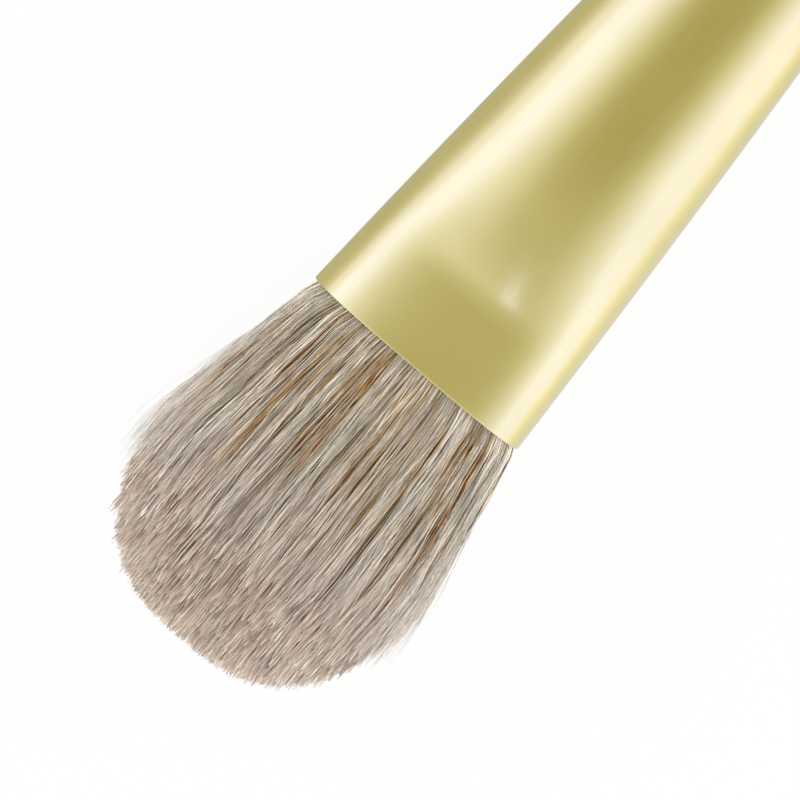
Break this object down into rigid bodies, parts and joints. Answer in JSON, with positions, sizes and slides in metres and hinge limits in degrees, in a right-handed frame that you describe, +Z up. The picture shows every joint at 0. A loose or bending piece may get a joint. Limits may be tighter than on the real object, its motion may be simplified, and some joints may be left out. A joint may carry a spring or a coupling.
{
  "type": "contour brush",
  "caption": "Face contour brush: domed tuft of soft natural hair in a pinched gold-anodised ferrule, on a turned black lacquered handle.",
  "frame": {"origin": "centre of the bottom of the whole brush's bounding box, on the surface that it lies on", "axes": "+X along the brush from the tip of the hair to the butt of the handle, +Z up, square to the flat side of the pinched mouth"},
  "size_m": [0.17, 0.0236, 0.0166],
  "materials": {
    "hair": "soft, streaked grey-brown natural hair",
    "binding_thread": "waxed thread",
    "resin": "cast resin",
    "gold_anodised_aluminium": "satin pale gold anodising",
    "cement": "set cement",
    "black_lacquered_wood": "gloss black lacquer"
  },
  "bodies": {
    "root": {"hair_lock_1": "hair", "hair_lock_2": "hair", "hair_lock_3": "hair", "hair_lock_4": "hair", "hair_lock_5": "hair", "hair_lock_6": "hair", "hair_lock_7": "hair", "root_binding": "binding_thread", "resin_plug": "resin", "ferrule": "gold_anodised_aluminium", "cement_collar": "cement", "handle": "black_lacquered_wood"}
  },
  "joints": []
}
